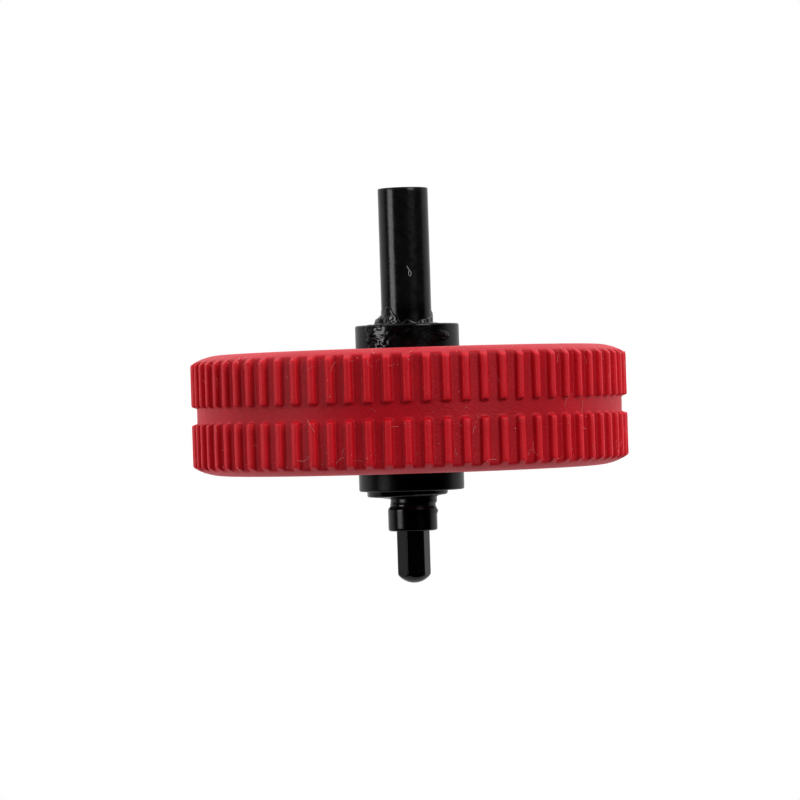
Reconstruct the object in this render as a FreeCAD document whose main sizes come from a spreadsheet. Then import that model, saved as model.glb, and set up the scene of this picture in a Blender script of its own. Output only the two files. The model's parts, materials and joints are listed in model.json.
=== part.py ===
import FreeCAD, Part
import math
import os
import types

import Sketcher

# Scroll wheel of a computer mouse: a ribbed rubber tyre on a moulded hub, turning on a moulded axle.
# Millimetres. The origin is on the spin axis, in the tyre's middle plane. +Z runs along the axle towards
# the long round pivot. The encoder's hexagonal drive pin points to -Z.

SIZES = {
    # tyre
    "tyre_radius": 13.05,
    "tyre_half_width": 3.6,
    "tread_half_width": 3.03,
    "side_face_radius": 11.2,
    "shoulder_radius": 3.29,
    "band_radius": 12.72,
    "band_half_width": 0.5,
    "rib_end_rounding": 0.12,
    "valley_floor": 12.735,
    "valley_floor_half": 0.325,
    "valley_mouth_half": 0.36,
    "rib_edge_rounding": 0.12,
    "rib_count": 72,
    "first_valley_angle": 1.9,
    # hub
    "seat_radius": 10.6,
    "flange_radius": 11.4,
    "flange_half_width": 1.0,
    "key_half_width": 0.7,
    "key_count": 12,
    "rim_inner_radius": 9.4,
    "rim_half_width": 3.2,
    "rim_lead_in": 0.25,
    "rim_edge": 0.15,
    "web_half_thickness": 0.7,
    "corner_rounding": 0.4,
    "gusset_thickness": 0.8,
    "gusset_outer_height": 2.3,
    "gusset_inner_height": 3.7,
    "gusset_count": 6,
    "ejector_pad_radius": 0.8,
    "ejector_pad_circle": 6.3,
    "ejector_pad_rise": 0.1,
    "upper_collar_radius": 3.11,
    "lower_collar_radius": 3.15,
    "collar_edge": 0.1,
    "upper_collar_end": 5.11,
    "lower_collar_end": 4.82,
    "lower_boss_radius": 2.15,
    "lower_boss_edge": 0.15,
    "lower_boss_end": 5.12,
    # axle
    "core_radius": 1.8,
    "core_flat": 1.55,
    "core_upper_end": 3.6,
    "core_lower_end": 5.18,
    "bore_clearance": 0.04,
    "root_base_radius": 1.56,
    "root_radius": 1.53,
    "root_tip_radius": 1.51,
    "root_end": 5.85,
    "pivot_radius": 1.5,
    "pivot_end": 13.29,
    "pivot_chamfer": 0.05,
    "neck_root_radius": 1.39,
    "neck_radius": 1.32,
    "neck_waist": 5.62,
    "neck_end": 5.92,
    "journal_radius": 1.45,
    "journal_end": 7.24,
    "journal_rounding": 0.12,
    "hexagon_inradius": 0.87,
    "hexagon_turn": -22.0,
    "hexagon_end": 10.37,
    "tip_dome_radius": 1.21,
    # adhesive
    "bead_foot_radius": 1.9,
    "bead_top_radius": 1.57,
    "bead_hollow": 0.9,
    "fin_reach": 2.0,
    "fin_half_width": 0.3,
}

FULL_TURN = 360
MARGIN = 1.0
KEY_OVERLAP = 0.2
PAST_CORNERS = 1.2


class Size:
    """A length with both its present value and the sheet expression that it comes from."""

    def __init__(self, value, text):
        self.value = value
        self.text = text

    def joined(self, sign, other, value):
        text = other.text if isinstance(other, Size) else repr(other)
        return Size(value, f"({self.text} {sign} {text})")

    def __neg__(self):
        return Size(-self.value, f"(-1 * {self.text})")

    def __add__(self, other):
        return self.joined("+", other, self.value + amount(other))

    def __sub__(self, other):
        return self.joined("-", other, self.value - amount(other))

    def __mul__(self, other):
        return self.joined("*", other, self.value * amount(other))


def amount(number):
    """The plain number of a Size or of a bare constant."""
    return number.value if isinstance(number, Size) else number


def expression(number):
    """The sheet expression of a Size or of a bare constant."""
    return number.text if isinstance(number, Size) else repr(number)


ON_AXIS = Size(0.0, "0")


def make_sheet(document):
    """Write the driving dimensions into a spreadsheet, and return them by name."""
    sheet = document.addObject("Spreadsheet::Sheet", "sizes")
    for row, (name, number) in enumerate(SIZES.items(), start=1):
        sheet.set(f"A{row}", name)
        sheet.set(f"B{row}", str(number))
        sheet.setAlias(f"B{row}", name)
    document.recompute()
    sizes = {name: Size(float(getattr(sheet, name)), f"sizes.{name}") for name in SIZES}
    return types.SimpleNamespace(**sizes)


# ---------------------------------------------------------------- features

def make_body(document, name):
    body = document.addObject("PartDesign::Body", name)
    body.Label = name
    return body


def origin_feature(body, role):
    return next(feature for feature in body.Origin.OriginFeatures if feature.Role == role)


def make_sketch(body, name, role):
    """An empty sketch on one of the body's own origin planes."""
    sketch = body.newObject("Sketcher::SketchObject", name)
    sketch.AttachmentSupport = [(origin_feature(body, role), "")]
    sketch.MapMode = "FlatFace"
    return sketch


def pin_point(sketch, edge, end, x, y):
    """Hold one end of an edge at a place that the sheet drives."""
    for kind, number in (("DistanceX", x), ("DistanceY", y)):
        index = sketch.addConstraint(Sketcher.Constraint(kind, -1, 1, edge, end, amount(number)))
        sketch.setExpression(f"Constraints[{index}]", expression(number))


def arc_between(start, end, radius):
    """An arc from start to end. A positive radius turns left on the way, a negative one turns right."""
    chord = end - start
    half = chord.Length / 2
    sideways = FreeCAD.Vector(-chord.y, chord.x, 0).normalize()
    reach = math.sqrt(max(radius * radius - half * half, 0))
    centre = (start + end) / 2 + sideways * math.copysign(reach, radius)
    outward = -math.copysign(1, radius)
    middle = centre + sideways * outward * abs(radius)
    return Part.Arc(start, middle, end)


def draw_outline(sketch, corners):
    """Close a loop through corners, each (x, y) or (x, y, radius) where an arc leads on to the next."""
    places = [FreeCAD.Vector(amount(corner[0]), amount(corner[1]), 0) for corner in corners]
    edges = []
    for index, corner in enumerate(corners):
        start = places[index]
        end = places[(index + 1) % len(places)]
        if len(corner) == 3:
            edges.append(sketch.addGeometry(arc_between(start, end, amount(corner[2]))))
        else:
            edges.append(sketch.addGeometry(Part.LineSegment(start, end)))
    # a stored arc always runs anticlockwise, so the ends of one that turns right change places
    ends = [(2, 1) if len(corner) == 3 and amount(corner[2]) < 0 else (1, 2) for corner in corners]
    for index, corner in enumerate(corners):
        following = (index + 1) % len(corners)
        join = (edges[index], ends[index][1], edges[following], ends[following][0])
        sketch.addConstraint(Sketcher.Constraint("Coincident", *join))
        pin_point(sketch, edges[index], ends[index][0], corner[0], corner[1])
        if len(corner) == 3:
            size = corner[2] if amount(corner[2]) > 0 else -corner[2]
            radius = sketch.addConstraint(Sketcher.Constraint("Radius", edges[index], amount(size)))
            sketch.setExpression(f"Constraints[{radius}]", expression(size))


def turn_profile(body, kind, name, corners):
    """Revolve an outline of (radius, height) corners about the Z axis: a Revolution or a Groove."""
    sketch = make_sketch(body, f"{name}_outline", "XZ_Plane")
    draw_outline(sketch, corners)
    feature = body.newObject(f"PartDesign::{kind}", name)
    feature.Profile = sketch
    feature.ReferenceAxis = (sketch, ["V_Axis"])
    feature.Angle = FULL_TURN
    body.Document.recompute()
    return feature


def extrude(body, kind, name, role, corners, length, start=None, turn=None, midplane=False):
    """Push an outline out of an origin plane: a Pad adds, a Pocket cuts the other way along the normal."""
    sketch = make_sketch(body, f"{name}_outline", role)
    draw_outline(sketch, corners)
    if start is not None:
        sketch.setExpression("AttachmentOffset.Base.z", expression(start))
    if turn is not None:
        sketch.setExpression("AttachmentOffset.Rotation.Angle", expression(turn))
    feature = body.newObject(f"PartDesign::{kind}", name)
    feature.Profile = sketch
    feature.setExpression("Length", expression(length))
    if midplane:
        feature.Midplane = True
    body.Document.recompute()
    return feature


def repeat_around(body, feature, name, count):
    """Pattern a feature evenly about the Z axis."""
    pattern = body.newObject("PartDesign::PolarPattern", name)
    pattern.Originals = [feature]
    pattern.Axis = (origin_feature(body, "Z_Axis"), [""])
    pattern.Angle = FULL_TURN
    pattern.setExpression("Occurrences", expression(count))
    body.Tip = pattern
    body.Document.recompute()
    return pattern


def draw_circle(body, name, radius, distance=None):
    """A sketch with one circle, centred on the Z axis or at a distance along the sketch's own X."""
    sketch = make_sketch(body, name, "XY_Plane")
    centre = FreeCAD.Vector(0 if distance is None else distance.value, 0, 0)
    circle = sketch.addGeometry(Part.Circle(centre, FreeCAD.Vector(0, 0, 1), radius.value))
    index = sketch.addConstraint(Sketcher.Constraint("Radius", circle, radius.value))
    sketch.setExpression(f"Constraints[{index}]", radius.text)
    if distance is None:
        sketch.addConstraint(Sketcher.Constraint("Coincident", circle, 3, -1, 1))
    else:
        pin_point(sketch, circle, 3, distance, 0.0)
    return sketch


def rectangle(low_x, low_y, high_x, high_y):
    return [(low_x, low_y), (high_x, low_y), (high_x, high_y), (low_x, high_y)]


def leg(hypotenuse, side):
    """The other short side of a right triangle."""
    value = math.sqrt(hypotenuse.value**2 - side.value**2)
    return Size(value, f"sqrt({hypotenuse.text} * {hypotenuse.text} - {side.text} * {side.text})")


def flatted_circle(radius, flat):
    """A circle with two flats across it, each at the same distance from the centre."""
    rise = leg(radius, flat)
    return [(flat, -rise), (flat, rise, radius), (-flat, rise), (-flat, -rise, radius)]


# ---------------------------------------------------------------- sub-parts

def make_tyre(document, size):
    """Soft tyre with a smooth band between two rows of ribs, keyed on to the hub's rim."""
    body = make_body(document, "tyre")
    upper_half = [
        (size.band_radius, size.band_half_width),
        (size.tyre_radius - size.rib_end_rounding, size.band_half_width, size.rib_end_rounding),
        (size.tyre_radius, size.band_half_width + size.rib_end_rounding),
        (size.tyre_radius, size.tread_half_width, size.shoulder_radius),
        (size.side_face_radius, size.tyre_half_width),
        (size.seat_radius, size.tyre_half_width),
        (size.seat_radius, size.flange_half_width),
        (size.flange_radius, size.flange_half_width),
    ]
    lower_half = [
        (size.flange_radius, -size.flange_half_width),
        (size.seat_radius, -size.flange_half_width),
        (size.seat_radius, -size.tyre_half_width),
        (size.side_face_radius, -size.tyre_half_width, size.shoulder_radius),
        (size.tyre_radius, -size.tread_half_width),
        (size.tyre_radius, -size.band_half_width - size.rib_end_rounding, size.rib_end_rounding),
        (size.tyre_radius - size.rib_end_rounding, -size.band_half_width),
        (size.band_radius, -size.band_half_width),
    ]
    turn_profile(body, "Revolution", "tyre_ring", upper_half + lower_half)

    key_end = size.flange_radius + KEY_OVERLAP
    key_outline = rectangle(size.seat_radius, -size.key_half_width, key_end, size.key_half_width)
    key = extrude(body, "Pad", "key", "XY_Plane", key_outline, size.flange_half_width * 2, midplane=True)
    repeat_around(body, key, "keys", size.key_count)

    # one valley between two ribs: flat floor, slightly drafted walls and rounded rib edges
    wall_top = size.tyre_radius - size.rib_edge_rounding
    mouth = size.valley_mouth_half
    flare = mouth + size.rib_edge_rounding
    clear = size.tyre_radius + MARGIN
    valley_outline = [
        (size.valley_floor, -size.valley_floor_half),
        (wall_top, -mouth, -size.rib_edge_rounding),
        (size.tyre_radius, -flare),
        (clear, -flare),
        (clear, flare),
        (size.tyre_radius, flare, -size.rib_edge_rounding),
        (wall_top, mouth),
        (size.valley_floor, size.valley_floor_half),
    ]
    valley = extrude(
        body,
        "Pocket",
        "valley",
        "XY_Plane",
        valley_outline,
        (size.tyre_half_width + MARGIN) * 2,
        turn=size.first_valley_angle,
        midplane=True,
    )
    repeat_around(body, valley, "valleys", size.rib_count)
    return body


def make_hub(document, size):
    """Moulded hub: two collars, a low boss, a webbed disc with gussets, and a rim with a keyed flange."""
    body = make_body(document, "hub")
    web = size.web_half_thickness
    rounding = size.corner_rounding
    outline = [
        (ON_AXIS, -size.lower_boss_end),
        (size.lower_boss_radius - size.lower_boss_edge, -size.lower_boss_end, size.lower_boss_edge),
        (size.lower_boss_radius, -size.lower_boss_end + size.lower_boss_edge),
        (size.lower_boss_radius, -size.lower_collar_end),
        (size.lower_collar_radius - size.collar_edge, -size.lower_collar_end, size.collar_edge),
        (size.lower_collar_radius, -size.lower_collar_end + size.collar_edge),
        (size.lower_collar_radius, -web - rounding, -rounding),
        (size.lower_collar_radius + rounding, -web),
        (size.rim_inner_radius - rounding, -web, -rounding),
        (size.rim_inner_radius, -web - rounding),
        (size.rim_inner_radius, -size.rim_half_width + size.rim_edge, size.rim_edge),
        (size.rim_inner_radius + size.rim_edge, -size.rim_half_width),
        (size.seat_radius - size.rim_lead_in, -size.rim_half_width),
        (size.seat_radius, -size.rim_half_width + size.rim_lead_in),
        (size.seat_radius, -size.flange_half_width),
        (size.flange_radius, -size.flange_half_width),
        (size.flange_radius, size.flange_half_width),
        (size.seat_radius, size.flange_half_width),
        (size.seat_radius, size.rim_half_width - size.rim_lead_in),
        (size.seat_radius - size.rim_lead_in, size.rim_half_width),
        (size.rim_inner_radius + size.rim_edge, size.rim_half_width, size.rim_edge),
        (size.rim_inner_radius, size.rim_half_width - size.rim_edge),
        (size.rim_inner_radius, web + rounding, -rounding),
        (size.rim_inner_radius - rounding, web),
        (size.upper_collar_radius + rounding, web, -rounding),
        (size.upper_collar_radius, web + rounding),
        (size.upper_collar_radius, size.upper_collar_end - size.collar_edge, size.collar_edge),
        (size.upper_collar_radius - size.collar_edge, size.upper_collar_end),
        (ON_AXIS, size.upper_collar_end),
    ]
    turn_profile(body, "Revolution", "hub_disc", outline)

    inner = size.upper_collar_radius - size.collar_edge
    outer = size.rim_inner_radius + size.collar_edge
    gusset_outline = [
        (inner, -size.gusset_inner_height),
        (outer, -size.gusset_outer_height),
        (outer, size.gusset_outer_height),
        (inner, size.gusset_inner_height),
    ]
    gusset = extrude(
        body, "Pad", "gusset", "XZ_Plane", gusset_outline, size.gusset_thickness, midplane=True
    )
    repeat_around(body, gusset, "gussets", size.gusset_count)

    key_outline = rectangle(
        size.seat_radius, -size.key_half_width, size.flange_radius + MARGIN, size.key_half_width
    )
    key_slot = extrude(
        body, "Pocket", "key_slot", "XY_Plane", key_outline, size.flange_half_width * 2, midplane=True
    )
    repeat_around(body, key_slot, "key_slots", size.key_count)

    core_depth = size.core_upper_end + size.lower_boss_end + MARGIN
    core_outline = flatted_circle(size.core_radius, size.core_flat)
    extrude(body, "Pocket", "core_bore", "XY_Plane", core_outline, core_depth, start=size.core_upper_end)

    root_bore = body.newObject("PartDesign::Pocket", "root_bore")
    root_bore.Profile = draw_circle(body, "root_bore_outline", size.root_base_radius + size.bore_clearance)
    root_bore.Type = "ThroughAll"
    root_bore.Midplane = True
    document.recompute()

    # one raised ejector pad on the web between each two gussets
    pad_outline = draw_circle(body, "ejector_pad_outline", size.ejector_pad_radius, size.ejector_pad_circle)
    pad_outline.setExpression("AttachmentOffset.Base.z", size.web_half_thickness.text)
    pad_outline.setExpression("AttachmentOffset.Rotation.Angle", f"180 / {size.gusset_count.text}")
    pad = body.newObject("PartDesign::Pad", "ejector_pad")
    pad.Profile = pad_outline
    pad.setExpression("Length", size.ejector_pad_rise.text)
    document.recompute()
    repeat_around(body, pad, "ejector_pads", size.gusset_count)
    return body


def make_axle(document, size):
    """Moulded axle: round pivot, flatted core in the hub, waisted neck, journal and hexagonal drive pin."""
    body = make_body(document, "axle")
    outline = [
        (ON_AXIS, -size.journal_end),
        (size.journal_radius - size.journal_rounding, -size.journal_end, size.journal_rounding),
        (size.journal_radius, -size.journal_end + size.journal_rounding),
        (size.journal_radius, -size.neck_end),
        (size.neck_radius, -size.neck_waist),
        (size.neck_root_radius, -size.core_lower_end),
        (size.core_radius, -size.core_lower_end),
        (size.core_radius, size.core_upper_end),
        (size.root_base_radius, size.core_upper_end),
        (size.root_radius, size.upper_collar_end),
        (size.root_tip_radius, size.root_end),
        (size.pivot_radius, size.root_end),
        (size.pivot_radius, size.pivot_end - size.pivot_chamfer),
        (size.pivot_radius - size.pivot_chamfer, size.pivot_end),
        (ON_AXIS, size.pivot_end),
    ]
    turn_profile(body, "Revolution", "axle_shaft", outline)

    # flats that stop the core from turning in the hub
    core_length = size.core_upper_end + size.core_lower_end
    for side in (1, -1):
        near = size.core_flat * side
        far = (size.core_radius + MARGIN) * side
        reach = size.core_radius + MARGIN
        corners = rectangle(near, -reach, far, reach) if side > 0 else rectangle(far, -reach, near, reach)
        name = "core_flat_right" if side > 0 else "core_flat_left"
        extrude(body, "Pocket", name, "XY_Plane", corners, core_length, start=size.core_upper_end)

    # hexagonal drive pin with a domed end
    side_half = size.hexagon_inradius * math.tan(math.radians(30))
    hexagon = [
        (size.hexagon_inradius, -side_half),
        (size.hexagon_inradius, side_half),
        (ON_AXIS, side_half * 2),
        (-size.hexagon_inradius, side_half),
        (-size.hexagon_inradius, -side_half),
        (ON_AXIS, -side_half * 2),
    ]
    extrude(
        body,
        "Pad",
        "drive_hexagon",
        "XY_Plane",
        hexagon,
        size.hexagon_end - size.journal_end + size.journal_rounding,
        start=-size.hexagon_end,
        turn=size.hexagon_turn,
    )
    # the dome's arc runs out past the hexagon's corners
    clear = size.hexagon_inradius * PAST_CORNERS
    dome_rise = size.tip_dome_radius - leg(size.tip_dome_radius, clear)
    dome_outline = [
        (ON_AXIS, -size.hexagon_end, size.tip_dome_radius),
        (clear, dome_rise - size.hexagon_end),
        (clear, -size.hexagon_end - MARGIN),
        (ON_AXIS, -size.hexagon_end - MARGIN),
    ]
    turn_profile(body, "Groove", "drive_dome", dome_outline)
    return body


def make_adhesive_bead(document, size):
    """Ring of set adhesive in the corner between the pivot and the upper collar, with one thicker fin."""
    body = make_body(document, "adhesive_bead")
    foot = size.upper_collar_end
    outline = [
        (size.root_radius, foot),
        (size.bead_foot_radius, foot, -size.bead_hollow),
        (size.bead_top_radius, size.root_end),
        (size.root_tip_radius, size.root_end),
    ]
    turn_profile(body, "Revolution", "bead_ring", outline)
    fin_outline = [
        (-size.fin_reach, foot),
        (-size.root_radius, foot),
        (-size.root_radius, size.root_end),
        (-size.bead_top_radius - size.collar_edge, size.root_end),
    ]
    extrude(body, "Pad", "bead_fin", "XZ_Plane", fin_outline, size.fin_half_width * 2, midplane=True)
    return body


def check(document, bodies):
    """Stop before anything is written if a feature failed or a sub-part is not one valid solid."""
    for item in document.Objects:
        faults = {"Invalid", "Error"} & set(item.State)
        if faults:
            raise RuntimeError(f"{item.Name} is {faults}")
    for body in bodies:
        shape = body.Shape
        if shape.isNull() or not shape.isValid() or len(shape.Solids) != 1:
            raise RuntimeError(f"{body.Label} is not one valid solid")


def main():
    os.makedirs("parts", exist_ok=True)
    document = FreeCAD.newDocument("scroll_wheel")
    size = make_sheet(document)
    bodies = [
        make_tyre(document, size),
        make_hub(document, size),
        make_axle(document, size),
        make_adhesive_bead(document, size),
    ]
    document.recompute()
    check(document, bodies)
    for body in bodies:
        body.Shape.exportStep(f"parts/{body.Label}.step")
        box = body.Shape.BoundBox
        print(f"{body.Label}: {body.Shape.Volume:.2f} mm3, z {box.ZMin:.2f} to {box.ZMax:.2f}")


main()
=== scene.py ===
import json
import math
import random
from functools import partial

import bpy
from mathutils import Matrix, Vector, noise


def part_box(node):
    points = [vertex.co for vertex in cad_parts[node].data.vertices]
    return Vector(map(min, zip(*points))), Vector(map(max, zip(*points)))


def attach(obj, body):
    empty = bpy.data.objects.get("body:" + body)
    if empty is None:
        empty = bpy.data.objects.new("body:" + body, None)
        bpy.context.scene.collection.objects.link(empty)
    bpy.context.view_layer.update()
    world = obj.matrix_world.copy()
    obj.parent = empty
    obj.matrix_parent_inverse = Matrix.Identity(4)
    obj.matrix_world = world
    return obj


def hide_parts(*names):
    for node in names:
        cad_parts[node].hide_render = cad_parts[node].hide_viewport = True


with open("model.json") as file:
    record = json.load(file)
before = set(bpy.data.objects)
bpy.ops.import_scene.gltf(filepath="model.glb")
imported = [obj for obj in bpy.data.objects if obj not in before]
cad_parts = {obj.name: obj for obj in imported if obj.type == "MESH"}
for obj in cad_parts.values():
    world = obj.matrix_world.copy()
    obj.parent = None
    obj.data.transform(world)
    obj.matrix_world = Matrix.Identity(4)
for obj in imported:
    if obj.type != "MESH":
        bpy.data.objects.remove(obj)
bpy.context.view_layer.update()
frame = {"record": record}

# Scroll wheel of a computer mouse. The wheel's centre is the origin and +Z runs along the axle to the long
# round pivot. Blender's unit is the metre; the shapes below are worked out in millimetres and scaled once.

MM = 0.001
FULL_TURN = 2 * math.pi
QUARTER_TURN = math.pi / 2


def in_mm(corner):
    """A corner of one of the frame's boxes, in millimetres."""
    return corner / MM


def mount_radius(name):
    """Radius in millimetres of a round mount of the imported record."""
    return next(mount["dims"]["r_mm"] for mount in frame["record"]["mounts"] if mount["name"] == name)


tyre_radius, _, tyre_half_width = in_mm(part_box("tyre")[1])
axle_low = in_mm(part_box("axle")[0]).z
axle_high = in_mm(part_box("axle")[1]).z
bead_corner = in_mm(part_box("hub")[1]).z
pivot_radius = mount_radius("round_pivot")
UPPER_COLLAR_RADIUS = 3.11
COLLAR_EDGE = 0.1


# ---------------------------------------------------------------- mesh helpers

def add_mesh(name, corners, faces):
    """A mesh object from corners in millimetres."""
    mesh = bpy.data.meshes.new(name)
    mesh.from_pydata([corner * MM for corner in corners], [], faces)
    mesh.update()
    piece = bpy.data.objects.new(name, mesh)
    bpy.context.scene.collection.objects.link(piece)
    return piece


def strip_faces(first, second, across):
    """Four-sided faces between two loops of corners, given the number of each loop's first corner."""
    faces = []
    for step in range(across):
        beside = (step + 1) % across
        faces.append((first + step, first + beside, second + beside, second + step))
    return faces


def closed_grid(name, loops):
    """A ring-shaped surface from loops of corners: closed along each loop and from the last to the first."""
    across = len(loops[0])
    faces = []
    for index in range(len(loops)):
        faces += strip_faces(index * across, (index + 1) % len(loops) * across, across)
    return add_mesh(name, [corner for loop in loops for corner in loop], faces)


def capped_faces(count, across, first=0):
    """Faces of a tube of loops, closed at both ends."""
    faces = [tuple(range(first + across - 1, first - 1, -1))]
    for index in range(count - 1):
        faces += strip_faces(first + index * across, first + (index + 1) * across, across)
    last = first + (count - 1) * across
    faces.append(tuple(range(last, last + across)))
    return faces


def smooth(piece, sharp_angle=60):
    """Smooth shading that keeps an edge sharp where the surface turns by more than so many degrees."""
    piece.data.shade_smooth()
    piece.data.set_sharp_from_angle(angle=math.radians(sharp_angle))


def around(radius, angle, height):
    """The place at a distance and an angle from the axle, and at a height along it."""
    return Vector((radius * math.cos(angle), radius * math.sin(angle), height))


def wear(place, grain):
    """Smooth noise between about -1 and 1 that changes over a distance of grain millimetres."""
    return noise.noise(place / grain)


def clamp(value):
    """The value, held between 0 and 1."""
    return max(0.0, min(1.0, value))


def soft_min(first, second, softness):
    """The smaller of two lengths, with the crossing rounded off over about the softness."""
    blend = max(0.0, 1 - abs(first - second) / softness)
    return min(first, second) - blend * blend * softness / 4


# ---------------------------------------------------------------- tyre

RIB_COUNT = 72
FIRST_RIB = math.radians(-90.6)
RIB_HEIGHT = 0.33
RIB_HALF_WIDTH = 0.225
RIB_CROWN = 0.05
WALL_DRAFT = 0.012
EDGE_ROUNDING = 0.13
FOOT_ROUNDING = 0.1
EDGE_STEPS = 3
FOOT_STEPS = 2
VALLEY_STEPS = 2
BAND_HALF_WIDTH = 0.5
BAND_ROWS = (0.14, 0.3)
TREAD_HALF_WIDTH = 3.03
LENGTH_STEPS = 8
CORNER_ROUNDING = 0.2
CORNER_STEPS = 4
SIDE_FACE_RADIUS = 11.2
SHOULDER_RADIUS = 3.29
SHOULDER_STEPS = 10
SEAT_RADIUS = 10.6
FLANGE_RADIUS = 11.4
FLANGE_HALF_WIDTH = 1.0
KEY_COUNT = 12
KEY_HALF_WIDTH = 0.7
KEY_GAP = 0.005
MOUTH_LAND = 0.35
MOUTH_ROUNDING = 0.12
MOUTH_CHAMFER = 0.035
SEAT_MIDDLE = 2.2
RIB_SHIFT = 0.01
RIB_LEAN = 0.005
RIPPLE = 0.012
RIPPLE_GRAIN = 0.3
RIPPLE_APART = 3.1
FLOOR_SOFTNESS = 0.08
TREAD_WEAR = 0.006
TREAD_WEAR_GRAIN = 0.9

half_pitch = math.pi * tyre_radius / RIB_COUNT
floor_radius = tyre_radius - RIB_HEIGHT
rib_foot = RIB_HALF_WIDTH + WALL_DRAFT + FOOT_ROUNDING


def step_down():
    """Offset in millimetres past a rib's wall, and rise from 1 to 0, down its rounded edge to its foot."""
    points = []
    for step in range(EDGE_STEPS + 1):
        turn = QUARTER_TURN * step / EDGE_STEPS
        drop = EDGE_ROUNDING * (1 - math.cos(turn))
        points.append((EDGE_ROUNDING * (math.sin(turn) - 1) - WALL_DRAFT, 1 - drop / RIB_HEIGHT))
    for step in range(FOOT_STEPS + 1):
        turn = QUARTER_TURN * step / FOOT_STEPS
        rise = FOOT_ROUNDING * (1 - math.sin(turn))
        points.append((FOOT_ROUNDING * (1 - math.cos(turn)) + WALL_DRAFT, rise / RIB_HEIGHT))
    return points


def rib_columns():
    """Offset from a rib's middle in millimetres, and rise from 0 to 1, from one valley to the next."""
    right = [(RIB_HALF_WIDTH + offset, rise) for offset, rise in step_down()]
    foot = right[-1][0]
    for step in range(1, VALLEY_STEPS):
        right.append((foot + (half_pitch - foot) * step / VALLEY_STEPS, 0.0))
    left = [(-offset, rise) for offset, rise in reversed(right)]
    crowned = []
    for offset, rise in left + [(0.0, 1.0)] + right + [(half_pitch, 0.0)]:
        crowned.append((offset, rise * (1 - RIB_CROWN * min(1, abs(offset) / RIB_HALF_WIDTH) ** 2)))
    return crowned


def tread_rows():
    """Radius, height and rise of the upper half's rows, from the band's middle to the groove inside."""
    rows = [(tyre_radius, height, 0.0) for height in BAND_ROWS]
    rows += [(tyre_radius, BAND_HALF_WIDTH - offset, rise) for offset, rise in reversed(step_down())]
    shoulder_height = TREAD_HALF_WIDTH - (tyre_half_width - SHOULDER_RADIUS)
    start = math.asin(shoulder_height / SHOULDER_RADIUS)
    corner_low = TREAD_HALF_WIDTH - CORNER_ROUNDING * math.tan(start / 2)
    low = rows[-1][1]
    for step in range(1, LENGTH_STEPS):
        rows.append((tyre_radius, low + (corner_low - low) * step / LENGTH_STEPS, 1.0))
    for step in range(CORNER_STEPS):
        turn = start * step / CORNER_STEPS
        radius = tyre_radius - CORNER_ROUNDING * (1 - math.cos(turn))
        rows.append((radius, corner_low + CORNER_ROUNDING * math.sin(turn), 1.0))
    for step in range(1, SHOULDER_STEPS + 1):
        turn = start + (QUARTER_TURN - start) * step / SHOULDER_STEPS
        radius = SIDE_FACE_RADIUS + SHOULDER_RADIUS * math.cos(turn)
        rows.append((radius, tyre_half_width - SHOULDER_RADIUS * (1 - math.sin(turn)), 1.0))
    inside = [
        (SEAT_RADIUS + MOUTH_LAND, tyre_half_width),
        (SEAT_RADIUS + MOUTH_ROUNDING, tyre_half_width),
        (SEAT_RADIUS + MOUTH_CHAMFER, tyre_half_width - MOUTH_CHAMFER),
        (SEAT_RADIUS, tyre_half_width - MOUTH_ROUNDING),
        (SEAT_RADIUS, SEAT_MIDDLE),
        (SEAT_RADIUS, FLANGE_HALF_WIDTH),
        (FLANGE_RADIUS, FLANGE_HALF_WIDTH),
        (FLANGE_RADIUS, FLANGE_HALF_WIDTH / 3),
    ]
    return rows + [(radius, height, 1.0) for radius, height in inside]


def on_key(angle):
    """Whether an angle lies on one of the keys that fill the slots of the hub's flange."""
    pitch = FULL_TURN / KEY_COUNT
    offset = (angle + pitch / 2) % pitch - pitch / 2
    return abs(offset) * FLANGE_RADIUS < KEY_HALF_WIDTH


def tyre_corner(rib, shape, column, row):
    """Where a column of one rib crosses a row. shape is the rib's own shift and lean in millimetres."""
    offset, across = column
    top_radius, height, along = row
    shift, lean = shape
    wall = Vector((rib * RIPPLE_APART, math.copysign(1, offset), height / RIPPLE_GRAIN))
    ripple = RIPPLE * wear(wall, 1.0)
    sideways = shift + lean * (abs(height) - TREAD_HALF_WIDTH / 2) + ripple
    hold = min(1, (half_pitch - abs(offset)) / (half_pitch - rib_foot))
    hold *= min(1, abs(height) / BAND_HALF_WIDTH)
    angle = FIRST_RIB + rib * FULL_TURN / RIB_COUNT + (offset + sideways * hold) / tyre_radius
    floor = soft_min(floor_radius, top_radius, FLOOR_SOFTNESS)
    distance = floor + (top_radius - floor) * across * along
    if top_radius == FLANGE_RADIUS and on_key(angle):
        distance = SEAT_RADIUS + KEY_GAP
    if top_radius > FLANGE_RADIUS:
        distance -= TREAD_WEAR * (1 + wear(around(distance, angle, height), TREAD_WEAR_GRAIN))
    return around(distance, angle, height)


def make_tyre():
    """Soft tyre with two rows of rounded ribs, each rib a little different from the next."""
    draw = random.Random(7)
    upper = tread_rows()
    rows = [(radius, -height, rise) for radius, height, rise in reversed(upper)] + upper
    columns = rib_columns()
    shapes = []
    for _ in range(RIB_COUNT):
        shapes.append([(draw.gauss(0, RIB_SHIFT), draw.gauss(0, RIB_LEAN)) for _ in range(2)])
    loops = []
    for row in rows:
        in_upper_half = row[1] > 0
        loop = []
        for rib in range(RIB_COUNT):
            shape = shapes[rib][in_upper_half]
            loop += [tyre_corner(rib, shape, column, row) for column in columns]
        loops.append(loop)
    piece = closed_grid("tyre_rubber", loops)
    smooth(piece)
    return piece


# ---------------------------------------------------------------- axle

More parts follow.
